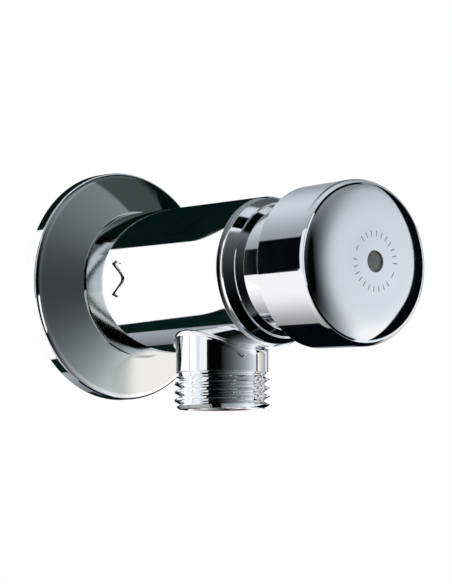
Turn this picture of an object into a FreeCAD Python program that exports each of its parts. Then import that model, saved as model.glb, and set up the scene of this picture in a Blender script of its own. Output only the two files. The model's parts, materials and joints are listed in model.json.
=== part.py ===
import FreeCAD, Part
import math
import os
import re
import Sketcher
from FreeCAD import Rotation, Vector

# Timed urinal flush valve, for a wall. Millimetres, +Z up, +Y into the wall.
# The origin is where the valve's axis meets the face of the wall.
# A push on the button opens the valve against the water, and a slow piston lets it close.

# Driving dimensions. A place along the axis is counted from the wall towards the user.
SIZES = {
    # Male pipe thread, half inch, as its outside radius
    "thread_radius": 10.4775,
    "thread_lead": 1.0,
    # Gaps and edges that many pieces share
    "fit_gap": 0.15,
    "run_gap": 0.05,
    "stack_gap": 0.1,
    "edge_break": 0.4,
    "cut_over": 1.0,
    # Wall plate, a spun cone of sheet brass
    "plate_radius": 25.9,
    "plate_rim": 3.35,
    "plate_height": 8.6,
    "plate_wall": 1.0,
    "plate_round": 0.9,
    "plate_land": 0.4,
    "plate_gap": 0.3,
    # Body
    "body_radius": 16.2,
    "body_length": 44.7,
    "body_edge": 0.5,
    "flare_length": 3.2,
    "flare_rise": 0.1,
    "flare_land": 1.0,
    "nipple_reach": 12.0,
    "nipple_start": 1.0,
    "neck_radius": 10.2,
    "pocket_radius": 8.2,
    "inlet_radius": 7.5,
    "seat_depth": 7.1,
    "chamber_radius": 12.0,
    # Outlet branch
    "outlet_back": 16.7,
    "neck_length": 5.0,
    "outlet_thread": 7.0,
    "outlet_relief": 1.0,
    "relief_depth": 0.7,
    "outlet_radius": 7.0,
    "mouth_bevel": 0.5,
    "branch_fillet": 2.5,
    # Cartridge barrel
    "barrel_wall": 1.4,
    "flange_length": 4.2,
    "timing_radius": 8.4,
    "rear_wall": 3.0,
    "spider_room": 1.85,
    "spider_wall": 3.0,
    "window_margin": 0.9,
    "window_width": 8.0,
    "water_hole": 0.9,
    # Seal rings
    "ring_cord": 1.6,
    "groove_room": 0.3,
    "ring_squeeze": 0.1,
    "seal_cord": 1.4,
    # Seat and valve disc
    "seat_radius": 4.8,
    "seat_wall": 1.2,
    "seat_flange": 0.5,
    "seat_lip": 0.4,
    "seat_gap": 0.05,
    "disc_radius": 6.0,
    "disc_thickness": 2.4,
    "carrier_wall": 0.7,
    "carrier_base": 1.5,
    "disc_screw_head": 3.4,
    "disc_screw_height": 2.0,
    "disc_screw_shank": 1.5,
    "disc_screw_length": 8.0,
    "disc_screw_room": 0.65,
    "tap_length": 9.0,
    "screw_slot": 0.8,
    # Stem
    "stem_radius": 3.0,
    "spigot_radius": 2.5,
    "shoulder_radius": 4.3,
    "shoulder_length": 1.2,
    "shoulder_gap": 0.4,
    "tip_room": 1.1,
    "bush_wall": 1.5,
    "bush_flange": 0.8,
    # Timing piston
    "piston_length": 4.4,
    "piston_gap": 0.2,
    "lip_depth": 2.2,
    "lip_width": 2.2,
    "lip_rise": 0.1,
    "lip_wall": 0.5,
    "front_land": 0.8,
    "bleed_radius": 0.8,
    "bleed_place": 4.9,
    "bleed_gap": 0.08,
    "clip_thickness": 0.6,
    "clip_width": 1.6,
    "clip_depth": 0.5,
    # Bonnet
    "bonnet_screw": 5.8,
    "thread_step": 1.0,
    "bonnet_web": 3.9,
    "collar_inset": 0.6,
    "flange_side": 0.9,
    "nose_inset": 1.1,
    "flange_depth": 3.3,
    "bonnet_step": 0.3,
    "nose_run": 1.7,
    "tube_gap": 1.4,
    "tube_wall": 1.6,
    "gland_wall": 1.5,
    "gland_radius": 5.0,
    "gland_depth": 8.0,
    "gland_sink": 0.5,
    "packing_length": 1.2,
    "gland_nut_head": 3.0,
    # Return spring
    "spring_radius": 9.1,
    "spring_wire": 1.2,
    "spring_seat_gap": 0.05,
    "spring_end_gap": 0.5,
    # Push button
    "button_stand": 12.9,
    "button_length": 17.9,
    "button_radius": 17.2,
    "button_flare": 0.35,
    "button_round": 4.3,
    "button_crown": 0.7,
    "button_wall": 2.4,
    "button_floor": 4.2,
    "boss_radius": 5.5,
    "boss_length": 9.0,
    "stroke": 7.0,
    "stop_gap": 0.2,
    "grub_radius": 2.0,
    "grub_length": 3.4,
    "socket_radius": 1.15,
    "plug_radius": 2.25,
    "plug_thickness": 0.9,
    "plug_sink": 0.45,
    # Flow regulator and strainer
    "regulator_length": 5.4,
    "regulator_base": 2.0,
    "regulator_rim": 1.2,
    "regulator_boss": 3.4,
    "strainer_radius": 6.9,
    "strainer_wall": 0.5,
    "strainer_gap": 1.2,
    "strainer_slot": 1.6,
    "strainer_inset": 0.3,
}

# Counts of what repeats
WINDOWS = 4
WATER_HOLES = 8
STRAINER_SLOTS = 12
SPRING_CURLS = 8
END_CURLS = 1

# How far round the open clip reaches, in degrees
CLIP_ANGLE = 310

# Places and radii that follow from the driving dimensions
PLACES = {
    "body_front": "plate_height + body_length",
    "cartridge_seat": "plate_height + seat_depth",
    "flare_radius": "body_radius + flare_rise",
    "flare_start": "flare_end - flare_length",
    "flare_end": "body_front - body_edge - flare_land",
    "seal_pocket": "bonnet_thread + seal_cord + run_gap",
    "nipple_end": "0 - nipple_reach",
    "pocket_end": "screw_rear - stroke - disc_screw_room",
    "outlet_place": "body_front - outlet_back",
    "neck_end": "body_radius + neck_length",
    "thread_top": "neck_end + outlet_relief",
    "outlet_drop": "thread_top + outlet_thread",
    "bonnet_thread": "chamber_radius + thread_step",
    "thread_bore": "bonnet_thread + fit_gap",
    "barrel_front": "body_front - bonnet_screw",
    "barrel_radius": "chamber_radius - fit_gap",
    "barrel_waist": "timing_radius + barrel_wall",
    "rear_flange_end": "cartridge_seat + flange_length",
    "front_flange_start": "barrel_front - flange_length",
    "ring_groove": "ring_cord + groove_room",
    "groove_floor": "chamber_radius - ring_cord + ring_squeeze",
    "rear_groove": "cartridge_seat + (flange_length - ring_groove) / 2",
    "front_groove": "front_flange_start + (flange_length - ring_groove) / 2",
    "rear_wall_end": "cartridge_seat + rear_wall",
    "spider_end": "clip_rear - stroke - spider_room",
    "spider_place": "spider_end - spider_wall",
    "window_length": "spider_place - rear_flange_end - 2 * window_margin",
    "seat_outer": "seat_radius + seat_wall",
    "seat_face": "cartridge_seat - seat_flange - seat_lip",
    "disc_front": "seat_face - seat_gap",
    "disc_rear": "disc_front - disc_thickness",
    "carrier_rear": "disc_rear - carrier_base",
    "screw_rear": "carrier_rear - disc_screw_height",
    "guide_radius": "stem_radius + run_gap",
    "bush_radius": "guide_radius + bush_wall",
    "shoulder_front": "barrel_front - shoulder_gap",
    "shoulder_rear": "shoulder_front - shoulder_length",
    "piston_front": "shoulder_rear - run_gap",
    "piston_rear": "piston_front - piston_length",
    "piston_radius": "timing_radius - piston_gap",
    "lip_rear": "piston_front - lip_width - front_land",
    "lip_front": "lip_rear + lip_width",
    "lip_floor": "piston_radius - lip_depth",
    "lip_end": "lip_front - 2 * stack_gap",
    "lip_valley": "lip_rear + lip_width / 2",
    "clip_front": "piston_rear - stack_gap",
    "clip_rear": "clip_front - clip_thickness",
    "web_front": "barrel_front + bonnet_web",
    "bonnet_flange": "flare_radius - collar_inset",
    "flange_front": "body_front + flange_depth",
    "flange_nose": "bonnet_flange - nose_inset",
    "nose_front": "flange_front + nose_run",
    "bonnet_tube": "button_bore - tube_gap",
    "tube_front": "button_inside - stroke - stop_gap",
    "tube_inner": "bonnet_tube - tube_wall",
    "packing_floor": "web_front - gland_sink",
    "gland_front": "web_front + gland_depth",
    "gland_outer": "gland_radius + gland_wall",
    "stem_ring_cord": "gland_radius - guide_radius",
    "packing_rear": "packing_floor + stem_ring_cord + stack_gap",
    "gland_nut_rear": "packing_rear + packing_length + stack_gap",
    "hexagon_radius": "gland_outer + edge_break",
    "button_rear": "body_front + button_stand",
    "button_front": "button_rear + button_length",
    "button_inside": "button_front - button_floor",
    "stem_tip": "button_inside - tip_room",
    "button_edge": "button_front - button_crown",
    "button_face_radius": "button_radius + button_flare",
    "boss_rear": "button_inside - boss_length",
    "button_bore": "button_radius - button_wall",
    "grub_rear": "stem_tip + stack_gap",
    "grub_front": "grub_rear + grub_length",
    "plug_front": "button_front - plug_sink",
    "plug_rear": "plug_front - plug_thickness",
    "regulator_front": "pocket_end - stack_gap",
    "regulator_rear": "regulator_front - regulator_length",
    "regulator_radius": "pocket_radius - fit_gap",
    "holes_place": "(regulator_boss + regulator_radius - regulator_rim) / 2",
    "strainer_rear": "nipple_end + strainer_inset",
    "strainer_end": "regulator_rear - strainer_gap",
    "strainer_depth": "strainer_end - strainer_rear",
}

WORD = re.compile("[a-z][a-z_]+")

doc = FreeCAD.newDocument("FlushValve")
sheet = doc.addObject("Spreadsheet::Sheet", "Sizes")
for row, (alias, size) in enumerate(SIZES.items(), start=1):
    sheet.set("A%d" % row, alias)
    sheet.set("B%d" % row, str(size))
    sheet.setAlias("B%d" % row, alias)
doc.recompute()


def formula(text):
    """Spell a formula out in cells of the sheet."""
    def spell(match):
        word = match.group(0)
        if word in SIZES:
            return "Sizes." + word
        return "(" + formula(PLACES[word]) + ")"
    return WORD.sub(spell, text)


def number(text):
    """What a formula comes to, in millimetres."""
    return float(sheet.evalExpression(formula(text)))


def new_body(name):
    """An empty body, which is one piece of the valve."""
    body = doc.addObject("PartDesign::Body", name)
    body.Label = name
    return body


def new_sketch(body, name, role):
    """An empty sketch on one of the body's own planes."""
    sketch = body.newObject("Sketcher::SketchObject", name)
    origin_plane = next(p for p in body.Origin.OriginFeatures if p.Role == role)
    sketch.AttachmentSupport = [(origin_plane, "")]
    sketch.MapMode = "FlatFace"
    return sketch


def bind(sketch, kind, curve, end, text):
    """Hold one end of a curve at a distance from the sketch's origin."""
    value = number(text)
    if abs(value) < 1e-9 and text == "0":
        sketch.addConstraint(Sketcher.Constraint("PointOnObject", curve, end, -1 if kind == "DistanceY" else -2))
        return
    if value >= 0:
        index = sketch.addConstraint(Sketcher.Constraint(kind, -1, 1, curve, end, value))
        sketch.setExpression("Constraints[%d]" % index, formula(text))
    else:
        index = sketch.addConstraint(Sketcher.Constraint(kind, curve, end, -1, 1, -value))
        sketch.setExpression("Constraints[%d]" % index, "-(" + formula(text) + ")")


def outline(sketch, corners):
    """A closed outline. A corner is (across, up), or (across, up, bend) where an arc leaves it.

    A dome is an arc about a centre on the sketch's own horizontal axis. A flare is an arc
    that leaves its corner level, so its centre is straight above that corner.
    """
    count = len(corners)
    points = [Vector(number(c[0]), number(c[1]), 0) for c in corners]
    starts = []
    ends = []
    for i, corner in enumerate(corners):
        first = points[i]
        last = points[(i + 1) % count]
        bend = corner[2] if len(corner) > 2 else "line"
        if bend == "line":
            curve = sketch.addGeometry(Part.LineSegment(first, last))
            starts.append((curve, 1))
            ends.append((curve, 2))
            continue
        if bend == "dome":
            middle = (last.x ** 2 + last.y ** 2 - first.x ** 2 - first.y ** 2) / (2 * (last.x - first.x))
            centre = Vector(middle, 0, 0)
        else:
            run = last - first
            centre = Vector(first.x, first.y + (run.x ** 2 + run.y ** 2) / (2 * run.y), 0)
        angles = [math.atan2(p.y - centre.y, p.x - centre.x) for p in (first, last)]
        turn = (angles[1] - angles[0]) % (2 * math.pi)
        forward = turn < math.pi
        low, high = angles if forward else angles[::-1]
        circle = Part.Circle(centre, Vector(0, 0, 1), (first - centre).Length)
        curve = sketch.addGeometry(Part.ArcOfCircle(circle, low, high))
        starts.append((curve, 1 if forward else 2))
        ends.append((curve, 2 if forward else 1))
        if bend == "dome":
            sketch.addConstraint(Sketcher.Constraint("PointOnObject", curve, 3, -1))
        else:
            sketch.addConstraint(Sketcher.Constraint("Vertical", curve, 3, *starts[-1]))
    for i in range(count):
        sketch.addConstraint(Sketcher.Constraint("Coincident", *ends[i], *starts[(i + 1) % count]))
    for i, corner in enumerate(corners):
        bind(sketch, "DistanceX", *starts[i], corner[0])
        bind(sketch, "DistanceY", *starts[i], corner[1])


def along(corners):
    """Corners given as (place, radius), with the place counted from the wall."""
    return [("-(%s)" % c[0] if c[0] != "0" else "0",) + tuple(c[1:]) for c in corners]


def turn_about_axis(body, name, corners, kind="Revolution", angle=360):
    """A turned shape, or a turned cut, about the valve's axis."""
    sketch = new_sketch(body, name + "_section", "YZ_Plane")
    outline(sketch, along(corners))
    feature = body.newObject("PartDesign::" + kind, name)
    feature.Profile = sketch
    feature.ReferenceAxis = (sketch, ["H_Axis"])
    feature.Angle = angle
    sketch.Visibility = False
    return feature


def turned(name, corners, angle=360):
    """A piece that is one turned shape."""
    body = new_body(name)
    turn_about_axis(body, name + "_turned", corners, angle=angle)
    return body


def round_edges(body, name, radius, wanted):
    """Round those edges of the body so far that the test picks."""
    doc.recompute()
    tip = body.Tip
    edges = enumerate(tip.Shape.Edges, start=1)
    names = ["Edge%d" % i for i, edge in edges if not edge.Degenerated and wanted(edge)]
    fillet = body.newObject("PartDesign::Fillet", name)
    fillet.Base = (tip, names)
    fillet.setExpression("Radius", formula(radius))
    return fillet


def is_circle_at(edge, place, radius):
    """True for a full circle about the valve's axis at this place and radius."""
    curve = edge.Curve
    if not isinstance(curve, Part.Circle):
        return False
    there = abs(curve.Center.y + number(place)) < 0.01
    return there and abs(curve.Radius - number(radius)) < 0.01 and abs(curve.Axis.y) > 0.99


def row_of_cuts(body, name, place, depth, count, draw):
    """A cut that looks along the valve's axis, repeated round it."""
    sketch = new_sketch(body, name + "_shape", "XZ_Plane")
    sketch.setExpression("AttachmentOffset.Base.z", formula(place))
    draw(sketch)
    doc.recompute()
    before = body.Tip.Shape.Volume
    cut = body.newObject("PartDesign::Pocket", name)
    cut.Profile = sketch
    cut.SideType = "Symmetric"
    cut.setExpression("Length", formula(depth))
    repeat(body, cut, count)
    sketch.Visibility = False
    if body.Tip.Shape.Volume >= before:
        raise RuntimeError(name + " cuts nothing")


def repeat(body, feature, count):
    """Copies of a cut, evenly round the valve's axis."""
    if count > 1:
        pattern = body.newObject("PartDesign::PolarPattern", feature.Name + "_row")
        pattern.Originals = [feature]
        axis = next(p for p in body.Origin.OriginFeatures if p.Role == "Y_Axis")
        pattern.Axis = (axis, [""])
        pattern.Angle = 360
        pattern.Occurrences = count
        body.Tip = pattern
    doc.recompute()


def hole_at(radius, height):
    """Draws a round hole at a height above the axis."""
    def draw(sketch):
        circle = Part.Circle(Vector(0, number(height), 0), Vector(0, 0, 1), number(radius))
        curve = sketch.addGeometry(circle)
        sketch.addConstraint(Sketcher.Constraint("PointOnObject", curve, 3, -2))
        if height == "0":
            sketch.addConstraint(Sketcher.Constraint("PointOnObject", curve, 3, -1))
        else:
            index = sketch.addConstraint(Sketcher.Constraint("DistanceY", -1, 1, curve, 3, number(height)))
            sketch.setExpression("Constraints[%d]" % index, formula(height))
        index = sketch.addConstraint(Sketcher.Constraint("Radius", curve, number(radius)))
        sketch.setExpression("Constraints[%d]" % index, formula(radius))
    return draw


def slot_at(width, low, high):
    """Draws a slot of this width that runs out along a radius."""
    def draw(sketch):
        half = "(%s) / 2" % width
        outline(sketch, [("-" + half, low), (half, low), (half, high), ("-" + half, high)])
    return draw


def hexagon(radius):
    """Draws a hexagon with its corners on a circle about the axis."""
    def draw(sketch):
        corners = []
        for i in range(6):
            across = math.cos(math.radians(60 * i))
            up = math.sin(math.radians(60 * i))
            corners.append(("%.6f * (%s)" % (across, radius), "%.6f * (%s)" % (up, radius)))
        corners[0] = (corners[0][0], "0")
        corners[3] = (corners[3][0], "0")
        outline(sketch, corners)
    return draw


def ring(name, place, radius, cord):
    """A seal ring of round section about the valve's axis."""
    torus = doc.addObject("Part::Torus", name)
    torus.Label = name
    torus.Placement = FreeCAD.Placement(Vector(0, 0, 0), Rotation(Vector(1, 0, 0), 90))
    torus.setExpression("Radius1", formula(radius))
    torus.setExpression("Radius2", "(" + formula(cord) + ") / 2")
    torus.setExpression("Placement.Base.y", "-(" + formula(place) + ")")
    return torus


def make_wall_plate():
    """A dished plate. It is open behind, and its middle is flat where the body bears on it."""
    body = new_body("wall_plate")
    turn_about_axis(body, "plate_outside", [
        ("0", "plate_radius"),
        ("plate_rim", "plate_radius"),
        ("plate_height", "body_radius + plate_land"),
        ("plate_height", "neck_radius + plate_gap"),
        ("plate_height - plate_wall", "neck_radius + plate_gap"),
        ("plate_height - plate_wall", "body_radius + plate_land - plate_wall / 2"),
        ("plate_rim - plate_wall", "plate_radius - plate_wall"),
        ("0", "plate_radius - plate_wall"),
    ])
    round_edges(body, "plate_rim_round", "plate_round",
                lambda edge: is_circle_at(edge, "plate_rim", "plate_radius"))
    return body


def make_valve_body():
    """The brass body: barrel, inlet nipple behind, outlet branch below, and all their bores."""
    body = new_body("valve_body")
    turn_about_axis(body, "body_outside", [
        ("nipple_end", "0"),
        ("nipple_end", "thread_radius - thread_lead"),
        ("nipple_end + thread_lead", "thread_radius"),
        ("nipple_start", "thread_radius"),
        ("nipple_start", "neck_radius"),
        ("plate_height", "neck_radius"),
        ("plate_height", "body_radius - body_edge"),
        ("plate_height + body_edge", "body_radius"),
        ("flare_start", "body_radius", "flare"),
        ("flare_end", "flare_radius"),
        ("body_front - body_edge", "flare_radius"),
        ("body_front", "flare_radius - body_edge"),
        ("body_front", "0"),
    ])
    add_branch(body)
    round_edges(body, "branch_root", "branch_fillet", is_branch_root)
    turn_about_axis(body, "body_bores", [
        ("nipple_end - cut_over", "0"),
        ("nipple_end - cut_over", "pocket_radius"),
        ("pocket_end", "pocket_radius"),
        ("pocket_end", "inlet_radius"),
        ("cartridge_seat", "inlet_radius"),
        ("cartridge_seat", "chamber_radius"),
        ("barrel_front - edge_break", "chamber_radius"),
        ("barrel_front - edge_break", "thread_bore"),
        ("body_front - seal_cord", "thread_bore"),
        ("body_front - seal_cord", "seal_pocket"),
        ("body_front + cut_over", "seal_pocket"),
        ("body_front + cut_over", "0"),
    ], kind="Groove")
    bore_branch(body)
    return body


def branch_sketch(body, name):
    """A sketch in the upright plane, moved to the outlet's axis."""
    sketch = new_sketch(body, name, "YZ_Plane")
    sketch.setExpression("AttachmentOffset.Base.x", "-" + formula("outlet_place"))
    return sketch


def add_branch(body):
    """The outlet branch, turned about its own upright axis."""
    sketch = branch_sketch(body, "branch_section")
    outline(sketch, [
        ("0", "0"),
        ("0", "-outlet_drop"),
        ("thread_radius - thread_lead", "-outlet_drop"),
        ("thread_radius", "-(outlet_drop - thread_lead)"),
        ("thread_radius", "-(thread_top)"),
        ("thread_radius - relief_depth", "-(thread_top)"),
        ("thread_radius - relief_depth", "-(neck_end)"),
        ("neck_radius", "-(neck_end)"),
        ("neck_radius", "0"),
    ])
    branch = body.newObject("PartDesign::Revolution", "branch")
    branch.Profile = sketch
    branch.ReferenceAxis = (sketch, ["V_Axis"])
    branch.Angle = 360
    sketch.Visibility = False


def is_branch_root(edge):
    """True for the curve where the branch leaves the barrel."""
    box = edge.BoundBox
    saddle = not isinstance(edge.Curve, (Part.Circle, Part.Line))
    return saddle and box.ZMax < 0 and box.ZMin > -number("thread_top") and box.XLength > 1


def bore_branch(body):
    """The water way through the branch, up into the chamber."""
    sketch = branch_sketch(body, "branch_bore_section")
    outline(sketch, [
        ("0", "-barrel_waist"),
        ("0", "-(outlet_drop + cut_over)"),
        ("outlet_radius + mouth_bevel", "-(outlet_drop + cut_over)"),
        ("outlet_radius + mouth_bevel", "-outlet_drop"),
        ("outlet_radius", "-(outlet_drop - mouth_bevel)"),
        ("outlet_radius", "-barrel_waist"),
    ])
    bore = body.newObject("PartDesign::Groove", "branch_bore")
    bore.Profile = sketch
    bore.ReferenceAxis = (sketch, ["V_Axis"])
    bore.Angle = 360
    sketch.Visibility = False


def make_flow_regulator():
    """A cup with a boss in its middle, and holes in its floor under a soft ring."""
    body = turned("flow_regulator", [
        ("regulator_rear", "regulator_radius"),
        ("regulator_front", "regulator_radius"),
        ("regulator_front", "0"),
        ("regulator_rear + regulator_rim", "0"),
        ("regulator_rear + regulator_rim", "regulator_boss"),
        ("regulator_front - regulator_base", "regulator_boss"),
        ("regulator_front - regulator_base", "regulator_radius - regulator_rim"),
        ("regulator_rear", "regulator_radius - regulator_rim"),
    ])
    row_of_cuts(body, "regulator_holes", "regulator_front - regulator_base / 2",
                "regulator_base + cut_over", WATER_HOLES, hole_at("water_hole", "holes_place"))
    return body


def make_inlet_strainer():
    """A pressed cup with slots, pushed into the mouth of the nipple."""
    body = turned("inlet_strainer", [
        ("strainer_rear", "strainer_radius - strainer_wall"),
        ("strainer_rear", "pocket_radius - run_gap"),
        ("strainer_rear + strainer_wall", "pocket_radius - run_gap"),
        ("strainer_rear + strainer_wall", "strainer_radius"),
        ("strainer_end", "strainer_radius"),
        ("strainer_end", "0"),
        ("strainer_end - strainer_wall", "0"),
        ("strainer_end - strainer_wall", "strainer_radius - strainer_wall"),
    ])
    row_of_cuts(body, "strainer_slots", "(strainer_rear + strainer_end) / 2",
                "strainer_depth - 4 * strainer_wall", STRAINER_SLOTS,
                slot_at("strainer_slot", "strainer_radius - 2 * strainer_wall",
                        "strainer_radius + strainer_wall"))
    row_of_cuts(body, "strainer_holes", "strainer_end", "3 * strainer_wall", WATER_HOLES,
                hole_at("water_hole", "strainer_radius / 2"))
    return body


def make_cartridge_barrel():
    """The moulded barrel: seat end, cage with windows, spider and timing cylinder."""
    body = turned("cartridge_barrel", [
        ("cartridge_seat", "seat_outer + run_gap"),
        ("cartridge_seat", "barrel_radius"),
        ("rear_groove", "barrel_radius"),
        ("rear_groove", "groove_floor"),
        ("rear_groove + ring_groove", "groove_floor"),
        ("rear_groove + ring_groove", "barrel_radius"),
        ("rear_flange_end", "barrel_radius"),
        ("rear_flange_end", "barrel_waist"),
        ("front_flange_start", "barrel_waist"),
        ("front_flange_start", "barrel_radius"),
        ("front_groove", "barrel_radius"),
        ("front_groove", "groove_floor"),
        ("front_groove + ring_groove", "groove_floor"),
        ("front_groove + ring_groove", "barrel_radius"),
        ("barrel_front", "barrel_radius"),
        ("barrel_front", "timing_radius"),
        ("spider_end", "timing_radius"),
        ("spider_end", "bush_radius + run_gap"),
        ("spider_place", "bush_radius + run_gap"),
        ("spider_place", "timing_radius"),
        ("rear_wall_end", "timing_radius"),
        ("rear_wall_end", "seat_outer + run_gap"),
    ])
    row_of_cuts(body, "barrel_windows", "(rear_flange_end + spider_place) / 2",
                "window_length", WINDOWS,
                slot_at("window_width", "timing_radius - cut_over", "barrel_waist + cut_over"))
    row_of_cuts(body, "spider_holes", "spider_place + spider_wall / 2", "spider_wall + cut_over",
                WATER_HOLES, hole_at("water_hole", "(bush_radius + bush_flange + timing_radius) / 2"))
    return body


def make_seat_ring():
    """The brass seat, with a raised lip that meets the rubber disc."""
    return turned("seat_ring", [
        ("cartridge_seat - seat_flange", "seat_radius"),
        ("seat_face", "seat_radius + seat_wall / 3"),
        ("seat_face", "seat_radius + 2 * seat_wall / 3"),
        ("cartridge_seat - seat_flange", "seat_outer"),
        ("cartridge_seat - seat_flange", "seat_outer + seat_flange"),
        ("cartridge_seat", "seat_outer + seat_flange"),
        ("cartridge_seat", "seat_outer"),
        ("rear_wall_end", "seat_outer"),
        ("rear_wall_end", "seat_radius"),
    ])


def make_guide_bush():
    """The bush in the spider that keeps the stem straight."""
    return turned("guide_bush", [
        ("spider_place - bush_flange", "guide_radius"),
        ("spider_place - bush_flange", "bush_radius + bush_flange"),
        ("spider_place", "bush_radius + bush_flange"),
        ("spider_place", "bush_radius"),
        ("spider_end", "bush_radius"),
        ("spider_end", "guide_radius"),
    ])


def make_valve_disc():
    """The rubber disc that the water presses against the seat."""
    return turned("valve_disc", [
        ("disc_rear", "spigot_radius"),
        ("disc_rear", "disc_radius"),
        ("disc_front", "disc_radius"),
        ("disc_front", "spigot_radius"),
    ])


def make_disc_carrier():
    """The brass cup that backs the rubber disc."""
    return turned("disc_carrier", [
        ("carrier_rear", "spigot_radius"),
        ("carrier_rear", "disc_radius + carrier_wall - edge_break"),
        ("carrier_rear + edge_break", "disc_radius + carrier_wall"),
        ("disc_front - disc_thickness / 3", "disc_radius + carrier_wall"),
        ("disc_front - disc_thickness / 3", "disc_radius"),
        ("disc_rear", "disc_radius"),
        ("disc_rear", "spigot_radius"),
    ])


def make_disc_screw():
    """The screw that clamps disc and cup to the stem, with a slot across its head."""
    body = turned("disc_screw", [
        ("screw_rear", "0"),
        ("screw_rear", "disc_screw_head - edge_break"),
        ("screw_rear + edge_break", "disc_screw_head"),
        ("carrier_rear", "disc_screw_head"),
        ("carrier_rear", "disc_screw_shank"),
        ("carrier_rear + disc_screw_length", "disc_screw_shank"),
        ("carrier_rear + disc_screw_length", "0"),
    ])
    row_of_cuts(body, "head_slot", "screw_rear", "disc_screw_height", 1,
                slot_at("screw_slot", "-disc_screw_head - cut_over", "disc_screw_head + cut_over"))
    return body


def make_stem():
    """The stem: rear spigot with its tapped hole, shaft, clip groove, shoulder and front thread."""
    return turned("stem", [
        ("carrier_rear + stack_gap", "disc_screw_shank"),
        ("carrier_rear + stack_gap", "spigot_radius"),
        ("disc_front", "spigot_radius"),
        ("disc_front", "stem_radius"),
        ("clip_rear - run_gap", "stem_radius"),
        ("clip_rear - run_gap", "stem_radius - clip_depth"),
        ("clip_front + run_gap", "stem_radius - clip_depth"),
        ("clip_front + run_gap", "stem_radius"),
        ("shoulder_rear", "stem_radius"),
        ("shoulder_rear", "shoulder_radius"),
        ("shoulder_front", "shoulder_radius"),
        ("shoulder_front", "stem_radius"),
        ("boss_rear", "stem_radius"),
        ("boss_rear", "spigot_radius"),
        ("stem_tip - edge_break", "spigot_radius"),
        ("stem_tip", "spigot_radius - edge_break"),
        ("stem_tip", "0"),
        ("carrier_rear + tap_length + edge_break", "0"),
        ("carrier_rear + tap_length", "disc_screw_shank"),
    ])


def make_timing_piston():
    """The piston, with a groove for its lip seal and a small hole for the bleed pin."""
    body = turned("timing_piston", [
        ("piston_rear", "guide_radius"),
        ("piston_rear", "piston_radius"),
        ("lip_rear", "piston_radius"),
        ("lip_rear", "lip_floor"),
        ("lip_front", "lip_floor"),
        ("lip_front", "piston_radius - lip_wall"),
        ("piston_front", "piston_radius - lip_wall"),
        ("piston_front", "guide_radius"),
    ])
    row_of_cuts(body, "bleed_hole", "(piston_rear + piston_front) / 2", "piston_length + cut_over", 1,
                hole_at("bleed_radius", "bleed_place"))
    return body


def make_piston_lip_seal():
    """A rubber cup. Its lip folds in on the push and closes on the way back."""
    return turned("piston_lip_seal", [
        ("lip_rear", "lip_floor"),
        ("lip_rear", "piston_radius"),
        ("lip_end", "piston_radius + lip_rise"),
        ("lip_end", "piston_radius + lip_rise - lip_wall"),
        ("lip_valley", "piston_radius - 1.5 * lip_wall"),
        ("lip_valley", "lip_floor + 1.2 * lip_wall"),
        ("lip_end", "lip_floor + lip_wall"),
        ("lip_end", "lip_floor"),
    ])


def make_piston_clip():
    """The open clip in the stem's groove, behind the piston."""
    return turned("piston_clip", [
        ("clip_rear", "stem_radius - clip_depth + run_gap"),
        ("clip_rear", "stem_radius + clip_width"),
        ("clip_front", "stem_radius + clip_width"),
        ("clip_front", "stem_radius - clip_depth + run_gap"),
    ], angle=CLIP_ANGLE)


def make_bleed_pin():
    """The fine pin in the bleed hole, which sets how slowly the valve closes."""
    pin = doc.addObject("Part::Cylinder", "bleed_pin")
    pin.Label = "bleed_pin"
    pin.Placement = FreeCAD.Placement(Vector(0, 0, 0), Rotation(Vector(1, 0, 0), 90))
    pin.setExpression("Radius", formula("bleed_radius - bleed_gap"))
    pin.setExpression("Height", formula("piston_length"))
    pin.setExpression("Placement.Base.y", "-(" + formula("piston_rear") + ")")
    pin.setExpression("Placement.Base.z", formula("bleed_place"))
    return pin


def make_bonnet():
    """The chromed head: thread, flange, tube round the spring, and the gland in its middle."""
    return turned("bonnet", [
        ("barrel_front", "guide_radius"),
        ("barrel_front", "bonnet_thread - edge_break"),
        ("barrel_front + edge_break", "bonnet_thread"),
        ("body_front", "bonnet_thread"),
        ("body_front", "bonnet_flange - edge_break / 2"),
        ("body_front + edge_break / 2", "bonnet_flange"),
        ("body_front + flange_side", "bonnet_flange"),
        ("flange_front", "flange_nose"),
        ("flange_front", "flange_nose - bonnet_step"),
        ("nose_front", "bonnet_tube"),
        ("tube_front - edge_break", "bonnet_tube"),
        ("tube_front", "bonnet_tube - edge_break"),
        ("tube_front", "tube_inner"),
        ("web_front", "tube_inner"),
        ("web_front", "gland_outer"),
        ("gland_front", "gland_outer"),
        ("gland_front", "gland_radius + fit_gap"),
        ("packing_floor", "gland_radius + fit_gap"),
        ("packing_floor", "guide_radius"),
    ])


def make_gland_nut():
    """The small nut that holds the stem's ring down, with a hexagon head."""
    body = turned("gland_nut", [
        ("gland_nut_rear", "guide_radius"),
        ("gland_nut_rear", "gland_radius"),
        ("gland_front", "gland_radius"),
        ("gland_front", "guide_radius"),
    ])
    sketch = new_sketch(body, "gland_head_shape", "XZ_Plane")
    sketch.setExpression("AttachmentOffset.Base.z", formula("gland_front"))
    hexagon("hexagon_radius")(sketch)
    hole_at("guide_radius", "0")(sketch)
    head = body.newObject("PartDesign::Pad", "gland_head")
    head.Profile = sketch
    head.setExpression("Length", formula("gland_nut_head"))
    sketch.Visibility = False
    return body


def make_gland_washer():
    """The slippery washer between ring and nut."""
    return turned("gland_washer", [
        ("packing_rear", "guide_radius"),
        ("packing_rear", "gland_radius"),
        ("packing_rear + packing_length", "gland_radius"),
        ("packing_rear + packing_length", "guide_radius"),
    ])


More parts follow.
